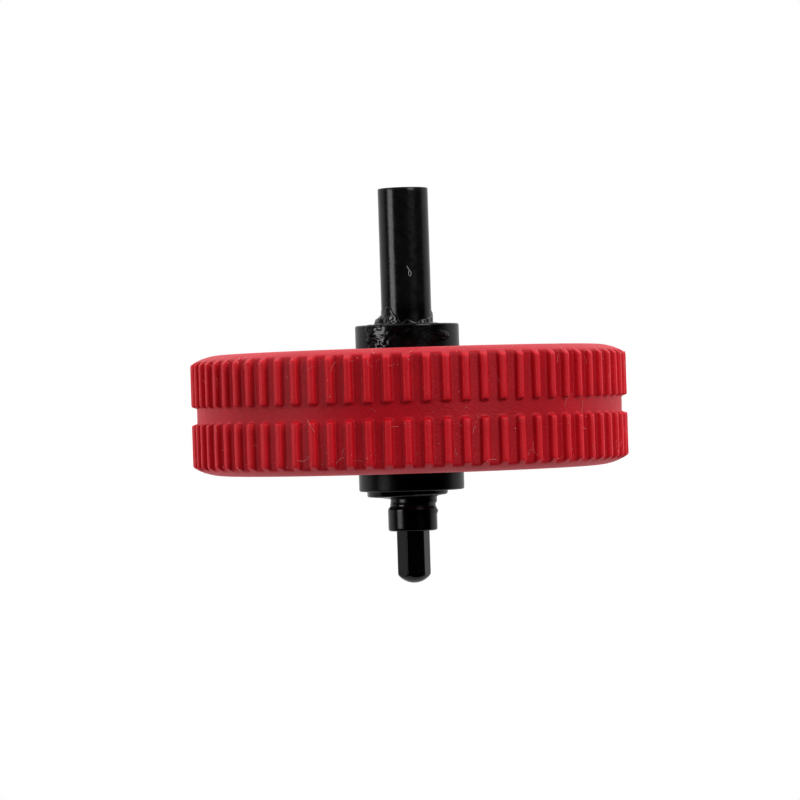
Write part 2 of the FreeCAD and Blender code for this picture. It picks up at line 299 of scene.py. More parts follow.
AXLE_SEGMENTS = 180
HEXAGON_INRADIUS = 0.87
HEXAGON_CORNER = 0.99
HEXAGON_SOFTNESS = 0.03
HEXAGON_TURN = math.radians(-22)
TIP_DOME_RADIUS = 1.21
TIP_SOFTNESS = 0.05
TIP_START = 0.002
TIP_HEIGHT = 0.7
TIP_STEPS = 18
JOURNAL_RADIUS = 1.47
JOURNAL_ROUNDING = 0.12
JOURNAL_LOW = -7.24
JOURNAL_HIGH = -5.97
JOURNAL_EDGE_STEPS = 5
JOURNAL_STEPS = 14
PIN_ROWS = (-9.0, -8.2, JOURNAL_LOW - 0.05, JOURNAL_LOW)
BURR_REACH = 0.075
BURR_SPREAD = 0.22
BURR_BELOW_EDGE = 0.12
BURR_HEIGHT = 0.11
NOTCH_DEPTH = 0.03
NOTCH_EXTRA_LEFT = 0.11
NOTCH_EXTRA_RIGHT = 0.04
NOTCH_ROWS = (0.15, 0.4, 0.7, 0.92, 1.0)
NECK_WAIST = -5.72
NECK_LOW = NECK_WAIST + 0.06
NECK_RADIUS = 1.44
NECK_EXTRA_RIGHT = 0.05
NECK_LESS_LEFT = 0.14
NECK_LUMP = 0.012
NECK_STEPS = 9
CORE_LOW = -5.18
CORE_HIGH = 3.6
CORE_RADIUS = 1.79
CORE_FLAT = 1.54
ROOT_LOW_RADIUS = 1.56
ROOT_HIGH = 5.85
ROOT_ROWS = (CORE_HIGH, 4.4, 5.1, 5.35, 5.6, ROOT_HIGH)
PIVOT_LOW = ROOT_HIGH + 0.05
PIVOT_STEPS = 40
PIVOT_WEAR = 0.004
PIVOT_EDGE = 0.05
PIVOT_EDGE_ROWS = (0.3, 0.7, 1.0)
PIVOT_END_INSET = 1.8 * PIVOT_EDGE


def leftness(angle):
    """1 on the left of the axle as seen from the front, and 0 in front, behind and on the right."""
    return max(0.0, -math.cos(angle))


def rightness(angle):
    """1 on the right of the axle as seen from the front, and 0 in front, behind and on the left."""
    return max(0.0, math.cos(angle))


def round_reach(radius, angle):
    """The reach of a round section is the same at every angle."""
    return radius


def hexagon_reach(angle):
    """Distance from the axis to the hexagon's slightly rounded outline."""
    turn = (angle - HEXAGON_TURN + math.pi / 6) % (math.pi / 3) - math.pi / 6
    return soft_min(HEXAGON_INRADIUS / math.cos(turn), HEXAGON_CORNER, HEXAGON_SOFTNESS)


def tip_reach(dome, angle):
    """The hexagon cut off by a dome that reaches so far at this height."""
    return soft_min(hexagon_reach(angle), dome, TIP_SOFTNESS)


def pin_loops():
    """The hexagonal pin from its domed tip up to the journal."""
    loops = []
    for step in range(TIP_STEPS + 1):
        rise = TIP_HEIGHT * (step / TIP_STEPS) ** 1.5
        dome = math.sqrt(2 * TIP_DOME_RADIUS * (rise + TIP_START) - rise**2)
        loops.append((axle_low + rise, partial(tip_reach, dome)))
    return loops + [(height, hexagon_reach) for height in PIN_ROWS]


def journal_reach(height, angle):
    """The journal with a little burr that stands out on the right of its upper edge."""
    across = math.sin(angle / 2) / BURR_SPREAD
    along = (height - JOURNAL_HIGH + BURR_BELOW_EDGE) / BURR_HEIGHT
    return JOURNAL_RADIUS + BURR_REACH * math.exp(-across**2 - along**2)


def journal_loops():
    """The short round journal, rounded at its lower edge."""
    loops = []
    for step in range(JOURNAL_EDGE_STEPS + 1):
        turn = QUARTER_TURN * step / JOURNAL_EDGE_STEPS
        radius = JOURNAL_RADIUS - JOURNAL_ROUNDING * (1 - math.sin(turn))
        height = JOURNAL_LOW + JOURNAL_ROUNDING * (1 - math.cos(turn))
        loops.append((height, partial(round_reach, radius)))
    low = JOURNAL_LOW + JOURNAL_ROUNDING
    for step in range(1, JOURNAL_STEPS + 1):
        height = low + (JOURNAL_HIGH - low) * step / JOURNAL_STEPS
        loops.append((height, partial(journal_reach, height)))
    return loops


def notch_reach(drop, angle):
    """The notch over the journal: deepest on the left, and hardly there in front."""
    extra = NOTCH_EXTRA_LEFT * leftness(angle) ** 2 + NOTCH_EXTRA_RIGHT * rightness(angle) ** 2
    return JOURNAL_RADIUS - drop * (NOTCH_DEPTH + extra)


def neck_reach(height, swell, angle):
    """The lumpy neck over the notch, thicker on the right. It is fully grown where swell is 1."""
    lump = NECK_LUMP * wear(around(1.0, angle, height * 2), 0.4)
    low = notch_reach(1.0, angle)
    high = NECK_RADIUS + NECK_EXTRA_RIGHT * rightness(angle) - NECK_LESS_LEFT * leftness(angle)
    return low + swell * (high - low + lump)


def neck_loops():
    """The notch over the journal, and the neck that swells out above it."""
    loops = []
    for share in NOTCH_ROWS:
        height = JOURNAL_HIGH + (NECK_WAIST - JOURNAL_HIGH) * share
        drop = share * share * (3 - 2 * share)
        loops.append((height, partial(notch_reach, drop)))
    for step in range(NECK_STEPS + 1):
        share = step / NECK_STEPS
        height = NECK_LOW + (CORE_LOW - NECK_LOW) * share
        loops.append((height, partial(neck_reach, height, min(1, share * 3))))
    return loops


def core_reach(angle):
    """The round core with a flat on the left and on the right."""
    return min(CORE_RADIUS, CORE_FLAT / max(0.5, abs(math.cos(angle))))


def pivot_reach(height, angle):
    """The pivot, a little worn."""
    return pivot_radius + PIVOT_WEAR * wear(around(1.5, angle, height), 0.9)


def pivot_loops():
    """The core in the hub, the root that narrows to the pivot, and the long round pivot with its end."""
    loops = [(CORE_LOW, core_reach), (CORE_HIGH, core_reach)]
    for height in ROOT_ROWS:
        share = (height - CORE_HIGH) / (ROOT_HIGH - CORE_HIGH)
        radius = ROOT_LOW_RADIUS + (pivot_radius - ROOT_LOW_RADIUS) * share
        loops.append((height, partial(round_reach, radius)))
    top = axle_high - PIVOT_EDGE
    for step in range(PIVOT_STEPS + 1):
        height = PIVOT_LOW + (top - PIVOT_LOW) * step / PIVOT_STEPS
        loops.append((height, partial(pivot_reach, height)))
    for share in PIVOT_EDGE_ROWS:
        inset = PIVOT_EDGE * (1 - math.sqrt(1 - share * share))
        loops.append((top + PIVOT_EDGE * share, partial(round_reach, pivot_radius - inset)))
    loops.append((axle_high, partial(round_reach, pivot_radius - PIVOT_END_INSET)))
    return loops


def make_axle():
    """One moulding: domed hexagonal pin, journal, neck, flatted core inside the hub, and round pivot."""
    angles = [FULL_TURN * index / AXLE_SEGMENTS for index in range(AXLE_SEGMENTS)]
    loops = pin_loops() + journal_loops() + neck_loops() + pivot_loops()
    corners = [around(reach(angle), angle, height) for height, reach in loops for angle in angles]
    piece = add_mesh("axle_moulding", corners, capped_faces(len(loops), AXLE_SEGMENTS))
    smooth(piece, 35)
    return piece


# ---------------------------------------------------------------- hub

HUB_SEGMENTS = 360
LOWER_COLLAR_RADIUS = 3.15
LOWER_COLLAR_END = 4.82
BOSS_RADIUS = 2.15
WEB_HALF = 0.7
RIM_INNER_RADIUS = 9.4
RIM_HALF_WIDTH = 3.2
RIM_LEAD_IN = 0.25
ROOT_BORE_RADIUS = 1.6
CORE_BORE_RADIUS = 1.85
BORE_GAP = 0.012
BORE_TOP = CORE_HIGH + 0.01
GUSSET_COUNT = 6
GUSSET_HALF = 0.4
GUSSET_INNER_HEIGHT = 3.7
GUSSET_OUTER_HEIGHT = 2.3
GUSSET_STATIONS = 14
GUSSET_BURIED = 0.1
GUSSET_FOOT = ((0.2, -0.02), (0.08, 0.05), (0.02, 0.16), (0.0, 0.3))
GUSSET_DRAFT = 0.02
GUSSET_EDGE = 0.1
PAD_RADIUS = 0.8
PAD_CIRCLE = 6.3
PAD_RISE = 0.1
PAD_SEGMENTS = 48
BOSS_EDGE = 0.15
BOSS_FILLET = 0.06
WEB_FILLET = 0.4
RIM_EDGE = 0.15
LEAD_IN_EDGE = 0.05
BORE_EDGE = 0.04


def round_corners(outline, steps=6):
    """Flat outline in which each corner with a rounding is replaced by an arc."""
    points = []
    for index, (across, up, rounding) in enumerate(outline):
        corner = Vector((across, up))
        if rounding == 0:
            points.append(corner)
            continue
        before = (Vector(outline[index - 1][:2]) - corner).normalized()
        after = (Vector(outline[(index + 1) % len(outline)][:2]) - corner).normalized()
        half = before.angle(after) / 2
        centre = corner + (before + after).normalized() * rounding / math.sin(half)
        start = corner + before * rounding / math.tan(half) - centre
        end = corner + after * rounding / math.tan(half) - centre
        for step in range(steps + 1):
            points.append(centre + start.lerp(end, step / steps).normalized() * rounding)
    return points


def hub_outline():
    """Half section of the hub, from its lower boss out over the rim and back to the upper collar."""
    boss_low = -bead_corner
    return [
        (BOSS_RADIUS, boss_low, BOSS_EDGE),
        (BOSS_RADIUS, -LOWER_COLLAR_END, BOSS_FILLET),
        (LOWER_COLLAR_RADIUS, -LOWER_COLLAR_END, COLLAR_EDGE),
        (LOWER_COLLAR_RADIUS, -WEB_HALF, WEB_FILLET),
        (RIM_INNER_RADIUS, -WEB_HALF, WEB_FILLET),
        (RIM_INNER_RADIUS, -RIM_HALF_WIDTH, RIM_EDGE),
        (SEAT_RADIUS - RIM_LEAD_IN, -RIM_HALF_WIDTH, LEAD_IN_EDGE),
        (SEAT_RADIUS, RIM_LEAD_IN - RIM_HALF_WIDTH, 0),
        (SEAT_RADIUS, -FLANGE_HALF_WIDTH, 0),
        (FLANGE_RADIUS, -FLANGE_HALF_WIDTH, 0),
        (FLANGE_RADIUS, FLANGE_HALF_WIDTH, 0),
        (SEAT_RADIUS, FLANGE_HALF_WIDTH, 0),
        (SEAT_RADIUS, RIM_HALF_WIDTH - RIM_LEAD_IN, 0),
        (SEAT_RADIUS - RIM_LEAD_IN, RIM_HALF_WIDTH, LEAD_IN_EDGE),
        (RIM_INNER_RADIUS, RIM_HALF_WIDTH, RIM_EDGE),
        (RIM_INNER_RADIUS, WEB_HALF, WEB_FILLET),
        (UPPER_COLLAR_RADIUS, WEB_HALF, WEB_FILLET),
        (UPPER_COLLAR_RADIUS, bead_corner, COLLAR_EDGE),
        (ROOT_BORE_RADIUS, bead_corner, BORE_EDGE),
        (ROOT_BORE_RADIUS, BORE_TOP, 0),
        (CORE_BORE_RADIUS, BORE_TOP, 0),
        (CORE_BORE_RADIUS, boss_low, 0),
    ]


def add_gusset(corners, faces, angle):
    """A tapering rib through the web, with small fillets where it meets the web."""
    first = len(corners)
    outward = around(1, angle, 0)
    across = around(1, angle + QUARTER_TURN, 0)
    inner = UPPER_COLLAR_RADIUS - GUSSET_BURIED
    outer = RIM_INNER_RADIUS + GUSSET_BURIED
    foot = [(GUSSET_HALF + aside, WEB_HALF + rise, 0) for aside, rise in GUSSET_FOOT]
    for station in range(GUSSET_STATIONS):
        share = station / (GUSSET_STATIONS - 1)
        high = GUSSET_INNER_HEIGHT + (GUSSET_OUTER_HEIGHT - GUSSET_INNER_HEIGHT) * share
        side = foot + [(GUSSET_HALF - GUSSET_DRAFT, high, GUSSET_EDGE)]
        upper_left = [(-offset, height, rounding) for offset, height, rounding in reversed(side)]
        lower_left = [(offset, -height, rounding) for offset, height, rounding in reversed(upper_left)]
        lower_right = [(-offset, height, rounding) for offset, height, rounding in reversed(lower_left)]
        middle = outward * (inner + (outer - inner) * share)
        for offset, height in round_corners(side + upper_left + lower_left + lower_right, 4):
            corners.append(middle + across * offset + Vector((0, 0, height)))
    faces += capped_faces(GUSSET_STATIONS, (len(corners) - first) // GUSSET_STATIONS, first)


def add_ejector_pad(corners, faces, angle):
    """A low round pad left by an ejector pin."""
    first = len(corners)
    middle = around(PAD_CIRCLE, angle, WEB_HALF)
    rings = [
        (PAD_RADIUS + 0.03, -0.05),
        (PAD_RADIUS + 0.02, 0.01),
        (PAD_RADIUS, 0.04),
        (PAD_RADIUS, PAD_RISE - 0.02),
        (PAD_RADIUS - 0.02, PAD_RISE),
    ]
    for radius, rise in rings:
        for step in range(PAD_SEGMENTS):
            corners.append(middle + around(radius, FULL_TURN * step / PAD_SEGMENTS, rise))
    faces += capped_faces(len(rings), PAD_SEGMENTS, first)


def hub_radius(radius, angle):
    """The outline's radius, changed where the flange has a key slot and where the bore follows the core."""
    # The outline's corners are Vectors, which keep single precision, so == would never find these radii.
    if math.isclose(radius, FLANGE_RADIUS, rel_tol=1e-6) and on_key(angle):
        return SEAT_RADIUS - KEY_GAP
    if math.isclose(radius, CORE_BORE_RADIUS, rel_tol=1e-6):
        return core_reach(angle) + BORE_GAP
    return radius


def make_hub():
    """Moulded hub: collars, web, gussets, ejector pads and a rim with a keyed flange."""
    outline = round_corners(hub_outline())
    across = len(outline)
    corners = []
    faces = []
    for index in range(HUB_SEGMENTS):
        angle = FULL_TURN * index / HUB_SEGMENTS
        corners += [around(hub_radius(radius, angle), angle, height) for radius, height in outline]
        following = (index + 1) % HUB_SEGMENTS
        faces += strip_faces(following * across, index * across, across)
    for index in range(GUSSET_COUNT):
        angle = FULL_TURN * index / GUSSET_COUNT
        add_gusset(corners, faces, angle)
        add_ejector_pad(corners, faces, angle + math.pi / GUSSET_COUNT)
    piece = add_mesh("hub_moulding", corners, faces)
    smooth(piece, 40)
    return piece


# ---------------------------------------------------------------- adhesive

FILM_SEGMENTS = 360
FILM_STEP = 0.055
FILM_STEPS_UP_PIVOT = 38
FILM_STEPS_OVER_TOP = 27
FILM_STEPS_OVER_EDGE = 6
FILM_STEPS_DOWN_FRONT = 24
FILM_HIDDEN = -0.03
FILM_ROOT = 0.1
CORNER_SPREAD = 0.8
FIN_RISE = 0.62
FIN_RUN = 0.47
FIN_THICKNESS = 0.42

# The middle and half width of the film's features, in degrees from the front, positive to the right.
FIN_SIDE = (-90, 26)
LIP_SIDE = (90, 45)
TONGUE_MIDDLE = -36
TONGUE_HALF_WIDTH = 26
TONGUE_WANDER = 5
CLIMB_SIDE = (-44, 34)
LEFT_SMEAR_SIDE = (-31, 17)
RIGHT_SMEAR_SIDE = (42, 18)
VEIL_SIDE = (13, 48)

# The middle and half width of the smears' heights, in millimetres.
LEFT_SMEAR_HEIGHT = (4.2, 0.45)
RIGHT_SMEAR_HEIGHT = (4.35, 0.4)


def film_path():
    """Places in the half plane and outward directions, down the pivot and over the upper collar."""
    path = []
    for step in range(-FILM_STEPS_UP_PIVOT, FILM_STEPS_OVER_TOP + 1):
        along = step * FILM_STEP
        turn = QUARTER_TURN / 2 * (1 + max(-1.0, min(1.0, along / CORNER_SPREAD)) ** 3)
        radius = pivot_radius + max(0.0, along)
        path.append((radius, bead_corner - min(0.0, along), math.cos(turn), math.sin(turn)))
    for step in range(FILM_STEPS_OVER_EDGE + 1):
        out = math.sin(QUARTER_TURN * step / FILM_STEPS_OVER_EDGE)
        up = math.cos(QUARTER_TURN * step / FILM_STEPS_OVER_EDGE)
        radius = UPPER_COLLAR_RADIUS - COLLAR_EDGE * (1 - out)
        path.append((radius, bead_corner - COLLAR_EDGE * (1 - up), out, up))
    for step in range(1, FILM_STEPS_DOWN_FRONT + 1):
        path.append((UPPER_COLLAR_RADIUS, bead_corner - COLLAR_EDGE - FILM_STEP * step, 1.0, 0.0))
    return path


def bump_at(value, middle, half_width):
    """1 near a middle value, and smoothly down to 0 at half_width away from it."""
    share = max(0.0, 1 - ((value - middle) / half_width) ** 2)
    return share * share


def film_on_top(side, rise, run, broad, fine):
    """Cover and thickness of the film on the pivot, in the corner and on the collar's flat top.

    rise is the height over the collar's top and run the distance out from the pivot, in millimetres;
    broad and fine are noise.
    """
    fin = bump_at(side, *FIN_SIDE)
    lip = bump_at(side, *LIP_SIDE)
    tongue = bump_at(side, TONGUE_MIDDLE + TONGUE_WANDER * fine, TONGUE_HALF_WIDTH)
    up_pivot = 0.4 + 0.3 * broad + 0.9 * bump_at(side, *CLIMB_SIDE) + 0.4 * lip + 0.7 * fin
    over_top = 0.3 + 0.2 * broad + 0.35 * fin + 1.6 * tongue + 0.25 * lip
    cover = clamp((up_pivot - rise) / 0.3 + 0.3 * fine) * clamp((over_top - run) / 0.25 + 0.3 * fine)
    corner = max(0.0, 1 - rise / FIN_RISE - run / FIN_RUN)
    thick = 0.03 + 0.02 * fine + 0.05 * lip + corner * (0.05 + 0.05 * fine) + FIN_THICKNESS * fin * corner
    return cover, thick


def film_on_front(side, rise, height, broad, fine):
    """Cover and thickness of the film over the collar's edge and down its front."""
    tongue = bump_at(side, TONGUE_MIDDLE + TONGUE_WANDER * fine, TONGUE_HALF_WIDTH)
    left_smear = bump_at(side, *LEFT_SMEAR_SIDE) * bump_at(height, *LEFT_SMEAR_HEIGHT)
    right_smear = bump_at(side, *RIGHT_SMEAR_SIDE) * bump_at(height, *RIGHT_SMEAR_HEIGHT)
    veil = bump_at(side, *VEIL_SIDE)
    cover = clamp(2.2 * tongue + 0.4 * rise + 2.5 * left_smear + 2 * right_smear + 1.6 * veil)
    streaks = wear(Vector((side / 10 + rise * 2.5, rise * 4.5 - side / 14 + 0.8 * fine, 0)), 1.0)
    thick = 0.018 + 0.008 * broad
    thick += (tongue + left_smear + right_smear) * (0.012 + 0.034 * streaks + 0.014 * fine)
    return cover, thick


def film_thickness(side, radius, height, place):
    """Thickness of the adhesive where side is the angle in degrees from the front, positive to the right."""
    broad = wear(place, 0.55)
    fine = wear(place + Vector((9, 0, 0)), 0.25)
    rise = height - bead_corner
    if radius < UPPER_COLLAR_RADIUS - COLLAR_EDGE:
        cover, thick = film_on_top(side, rise, radius - pivot_radius, broad, fine)
    else:
        cover, thick = film_on_front(side, rise, height, broad, fine)
    return FILM_HIDDEN + cover * (thick - FILM_HIDDEN)


def make_adhesive():
    """An uneven film of set adhesive: a bead in the corner, a fin on the left, and runs over the collar."""
    path = film_path()
    inside = [
        (UPPER_COLLAR_RADIUS - FILM_ROOT, path[-1][1]),
        (UPPER_COLLAR_RADIUS - FILM_ROOT, bead_corner - FILM_ROOT),
        (pivot_radius - FILM_ROOT, bead_corner - FILM_ROOT),
        (pivot_radius - FILM_ROOT, path[0][1]),
    ]
    loops = []
    for index in range(FILM_SEGMENTS):
        angle = FULL_TURN * index / FILM_SEGMENTS
        side = (math.degrees(angle) + 90 + 180) % 360 - 180
        loop = []
        for radius, height, out, up in path:
            thick = film_thickness(side, radius, height, around(radius, angle, height))
            loop.append(around(radius + out * thick, angle, height + up * thick))
        loop += [around(radius, angle, height) for radius, height in inside]
        loops.append(loop)
    piece = closed_grid("set_adhesive", loops)
    smooth(piece)
    return piece


# ---------------------------------------------------------------- adhesive under the lower collar

FLASH_SEGMENTS = 160
FLASH_TOP = -4.75
FLASH_INNER_RADIUS = 1.3


def make_underside_flash():
    """A ragged skin of adhesive under the lower collar, deeper on the left than on the right."""
    loops = []
    for index in range(FLASH_SEGMENTS):
        angle = FULL_TURN * index / FLASH_SEGMENTS
        leftward = 0.5 - 0.5 * math.cos(angle)
        ragged = wear(around(1.4, angle, 0), 0.5)
        reach = 1.95 + 0.75 * leftward**2 + 0.07 * ragged
        depth = -5.12 - 0.05 * leftward + 0.03 * ragged
        tip = -5.2 - 0.1 * leftward + 0.04 * ragged
        section = [
            (reach - 0.2, FLASH_TOP),
            (reach + 0.05, FLASH_TOP - 0.05),
            (reach + 0.01, FLASH_TOP - 0.15),
            (reach, depth + 0.1),
            (reach - 0.02, depth + 0.03),
            (reach - 0.1, depth),
            (1.75 + 0.3 * leftward, depth - 0.03),
            (1.52 + 0.05 * ragged, tip),
            (FLASH_INNER_RADIUS, tip),
            (FLASH_INNER_RADIUS, FLASH_TOP),
        ]
        loops.append([around(radius, angle, height) for radius, height in section])
    piece = closed_grid("underside_flash", loops)
    smooth(piece)
    return piece


# ---------------------------------------------------------------- lint and dust

LINT = (
    # side in degrees from the front, height in millimetres, length, lean in degrees, curl
    (-19, 2.6, 0.7, 60, 0.2),
    (-28, -2.5, 0.9, 15, -0.4),
    (-26, -0.7, 1.1, -50, 0.1),
    (16, -1.2, 0.5, 70, 0.2),
    (-4, -0.9, 0.5, 5, 0.1),
    (-18, -2.7, 0.6, 40, 0.2),
    (20, -3.1, 0.8, 20, 0.5),
    (41, 2.7, 0.5, 80, 0.2),
    (45, 0.3, 0.9, 60, 0.15),
    (51, -0.1, 0.8, 75, -0.2),
    (33, -2.4, 0.9, 110, 0.45),
    (-9, 3.5, 0.3, 30, 0.9),
)
LINT_THICKNESS = 0.0085
LINT_LIFT = 0.03
LINT_WAVER = 0.02
LINT_TOP = 3.55
SHORT_FIBRES = 90
FIBRE_STEPS = 14
TUBE_SIDES = 6
CRUMBS = (
    # side in degrees from the front, height and size in millimetres
    (-9, 3.3, 0.06),
    (-64, -1.3, 0.05),
    (-59, -2.0, 0.05),
    (7, -1.9, 0.035),
)
DUST_COUNT = 700
VALLEY_LIFT = 0.01
CREST_SINK = 0.016
SHOULDER_LIFT = 0.006
BAND_SOFTNESS = 0.2
FLECK_THICKNESS = 0.024
FLECK_LIFT = 0.006
FLECK_TAIL = ((4.0, 8.6), (5.5, 8.5), (7.5, 8.4))
FLECK_STEPS = 16


def front_angle(side):
    """The angle of a place so many degrees to the right of the front."""
    return math.radians(side - 90)


def on_tyre(side, height, lift, in_valleys=False):
    """A place just over the tread or the shoulder. Dust lies in the valleys, and a fibre bridges them."""
    angle = front_angle(side)
    pitch = FULL_TURN / RIB_COUNT
    from_rib = abs((angle - FIRST_RIB + pitch / 2) % pitch - pitch / 2) * tyre_radius
    low = floor_radius + VALLEY_LIFT
    high = tyre_radius - CREST_SINK
    over = abs(height) - TREAD_HALF_WIDTH
    if over > 0:
        start = TREAD_HALF_WIDTH - (tyre_half_width - SHOULDER_RADIUS)
        bulge = math.sqrt(max(0, SHOULDER_RADIUS**2 - (start + over) ** 2))
        radius = SIDE_FACE_RADIUS + bulge + SHOULDER_LIFT
    elif in_valleys and from_rib > RIB_HALF_WIDTH:
        radius = low
    else:
        radius = low + (high - low) * clamp((abs(height) - BAND_HALF_WIDTH) / BAND_SOFTNESS + 0.5)
    return around(radius + lift * abs(math.sin(2 * angle)), angle, height)


def inside_box(place):
    """The nearest place that isn't outside the tyre's own box."""
    across = max(-tyre_radius, min(tyre_radius, place.x))
    along = max(-tyre_radius, min(tyre_radius, place.y))
    return Vector((across, along, place.z))


def add_tube(corners, faces, points, thickness):
    """A thin six-sided fibre through points."""
    first = len(corners)
    last = len(points) - 1
    for index, point in enumerate(points):
        ahead = points[min(index + 1, last)] - points[max(index - 1, 0)]
        across = ahead.orthogonal().normalized()
        upward = ahead.cross(across).normalized()
        taper = 0.5 if index in (0, last) else 1.0
        for step in range(TUBE_SIDES):
            turn = FULL_TURN * step / TUBE_SIDES
            ring = across * math.cos(turn) + upward * math.sin(turn)
            corners.append(inside_box(point + ring * thickness * taper))
    faces += capped_faces(len(points), TUBE_SIDES, first)


def fibre_points(side, height, length, lean, curl, draw):
    """Places along a bent fibre that lies over the tread."""
    points = []
    lean = math.radians(lean)
    for step in range(FIBRE_STEPS + 1):
        share = step / FIBRE_STEPS - 0.5
        bow = curl * (0.25 - share * share) * 2
        run = length * (share * math.cos(lean) - bow * math.sin(lean))
        rise = length * (share * math.sin(lean) + bow * math.cos(lean))
        rise += LINT_WAVER * draw.gauss(0, 1) * length
        turned = side + math.degrees(run / tyre_radius)
        points.append(on_tyre(turned, max(-LINT_TOP, min(LINT_TOP, height + rise)), LINT_LIFT))
    return points


def make_lint():
    """Fibres that cling to the tread: a few listed one by one and many short ones at random."""
    draw = random.Random(31)
    corners = []
    faces = []
    for guide in LINT:
        add_tube(corners, faces, fibre_points(*guide, draw), LINT_THICKNESS)
    for _ in range(SHORT_FIBRES):
        guide = (
            draw.uniform(-180, 180),
            draw.uniform(-3.2, 3.2),
            draw.uniform(0.15, 0.6),
            draw.uniform(0, 180),
            draw.uniform(-0.6, 0.6),
        )
        add_tube(corners, faces, fibre_points(*guide, draw), LINT_THICKNESS * draw.uniform(0.4, 0.7))
    piece = add_mesh("lint", corners, faces)
    smooth(piece)
    return piece


def add_speck(corners, faces, place, size, draw):
    """A tiny uneven crumb with eight faces."""
    first = len(corners)
    for direction in ((1, 0, 0), (0, 1, 0), (-1, 0, 0), (0, -1, 0), (0, 0, 1), (0, 0, -1)):
        corners.append(inside_box(place + Vector(direction) * size * draw.uniform(0.6, 1.3)))
    for step in range(4):
        beside = (step + 1) % 4
        faces.append((first + step, first + beside, first + 4))
        faces.append((first + beside, first + step, first + 5))


def make_dust():
    """Crumbs of dust on the tread, most of them near its upper and lower ends, and a few larger ones."""
    draw = random.Random(5)
    corners = []
    faces = []
    for _ in range(DUST_COUNT):
        side = draw.uniform(-180, 180)
        height = draw.choice((draw.uniform(-3.5, 3.5), draw.uniform(2.5, 3.5), draw.uniform(-3.5, -2.4)))
        size = 0.014 + 0.03 * draw.random() ** 3
        add_speck(corners, faces, on_tyre(side, height, VALLEY_LIFT, in_valleys=True), size, draw)
    for side, height, size in CRUMBS:
        add_speck(corners, faces, on_tyre(side, height, 0.0, in_valleys=True), size, draw)
    return add_mesh("dust", corners, faces)


def make_fleck():
    """A small pale drop of residue on the front of the pivot, with a tail above it."""
    outline = list(FLECK_TAIL)
    for step in range(FLECK_STEPS + 1):
        turn = FULL_TURN * step / FLECK_STEPS
        outline.append((10.5 + 2.8 * math.sin(turn), 8.13 + 0.17 * math.cos(turn)))
    points = [around(pivot_radius + FLECK_LIFT, front_angle(side), height) for side, height in outline]
    corners = []
    faces = []
    add_tube(corners, faces, points, FLECK_THICKNESS)
    piece = add_mesh("pivot_fleck", corners, faces)
    smooth(piece)
    return piece


# ---------------------------------------------------------------- materials

# Rubber reds: the darker valley reds are painted shade in the recesses, and the paler crest reds are partly
# wear and partly a painted highlight.
VALLEY_SHADE_REDS = ((0.66, 0.003, 0.025), (0.75, 0.004, 0.031))
CREST_WEAR_AND_HIGHLIGHT_REDS = ((0.90, 0.020, 0.044), (0.97, 0.026, 0.054))
MOULDED_BLACK = (0.0025, 0.0025, 0.003)
# Greys of the paler patches on the black plastic.
PALE_PATCH_GREYS = ((0.012, 0.012, 0.012), (0.024, 0.023, 0.022))
ADHESIVE_GREYS = ((0.002, 0.002, 0.0025), (0.03, 0.03, 0.032))
LINT_PINKS = ((0.85, 0.5, 0.47), (0.95, 0.78, 0.74))
FLECK_GREYS = ((0.6, 0.6, 0.58), (0.8, 0.8, 0.78))
# Heights in millimetres above which the black plastic turns paler in patches.
PALER_ABOVE_ON_AXLE = 5.8
PALER_ABOVE_ON_HUB = 8.0
PALE_FADE = 1.0


def new_material(name):
    """A new material with its nodes, links and shader."""
    material = bpy.data.materials.new(name)
    material.use_nodes = True
    nodes = material.node_tree.nodes
    return material, nodes, material.node_tree.links, nodes["Principled BSDF"]


def noise_at(nodes, links, grain, detail=3.0):
    """Noise in the object's own space whose features are about grain millimetres across."""
    place = nodes.new("ShaderNodeTexCoord")
    texture = nodes.new("ShaderNodeTexNoise")
    texture.inputs["Scale"].default_value = 1 / (grain * MM)
    texture.inputs["Detail"].default_value = detail
    links.new(place.outputs["Object"], texture.inputs["Vector"])
    return texture.outputs["Fac"]


def blend_colours(nodes, links, factor, colours, start=0.0, end=1.0):
    """Blend from the first of two colours to the second as a factor goes from start to end."""
    ramp = nodes.new("ShaderNodeValToRGB")
    ramp.color_ramp.elements[0].position = start
    ramp.color_ramp.elements[0].color = (*colours[0], 1)
    ramp.color_ramp.elements[1].position = end
    ramp.color_ramp.elements[1].color = (*colours[1], 1)
    links.new(factor, ramp.inputs["Fac"])
    return ramp.outputs["Color"]


def span(nodes, links, factor, low, high):
    """Map a 0 to 1 factor on to a range of plain numbers."""
    node = nodes.new("ShaderNodeMapRange")
    node.inputs["To Min"].default_value = low
    node.inputs["To Max"].default_value = high
    links.new(factor, node.inputs["Value"])
    return node.outputs["Result"]


def ease(nodes, links, value, start, end, height):
    """A soft step from 0 to a height as a value goes from start to end."""
    node = nodes.new("ShaderNodeMapRange")
    node.interpolation_type = "SMOOTHSTEP"
    node.inputs["From Min"].default_value = start
    node.inputs["From Max"].default_value = end
    node.inputs["To Max"].default_value = height
    links.new(value, node.inputs["Value"])
    return node.outputs["Result"]


def calculate(nodes, links, operation, *values):
    """One sum on plain numbers or on the outputs of other nodes."""
    node = nodes.new("ShaderNodeMath")
    node.operation = operation
    for socket, value in zip(node.inputs, values):
        if isinstance(value, (int, float)):
            socket.default_value = value
        else:
            links.new(value, socket)
    return node.outputs["Value"]


def bump(nodes, links, shader, height, strength, distance):
    """Give a shader small bumps that stand out by up to a distance in millimetres."""
    node = nodes.new("ShaderNodeBump")
    node.inputs["Strength"].default_value = strength
    node.inputs["Distance"].default_value = distance * MM
    links.new(height, node.inputs["Height"])
    links.new(node.outputs["Normal"], shader.inputs["Normal"])


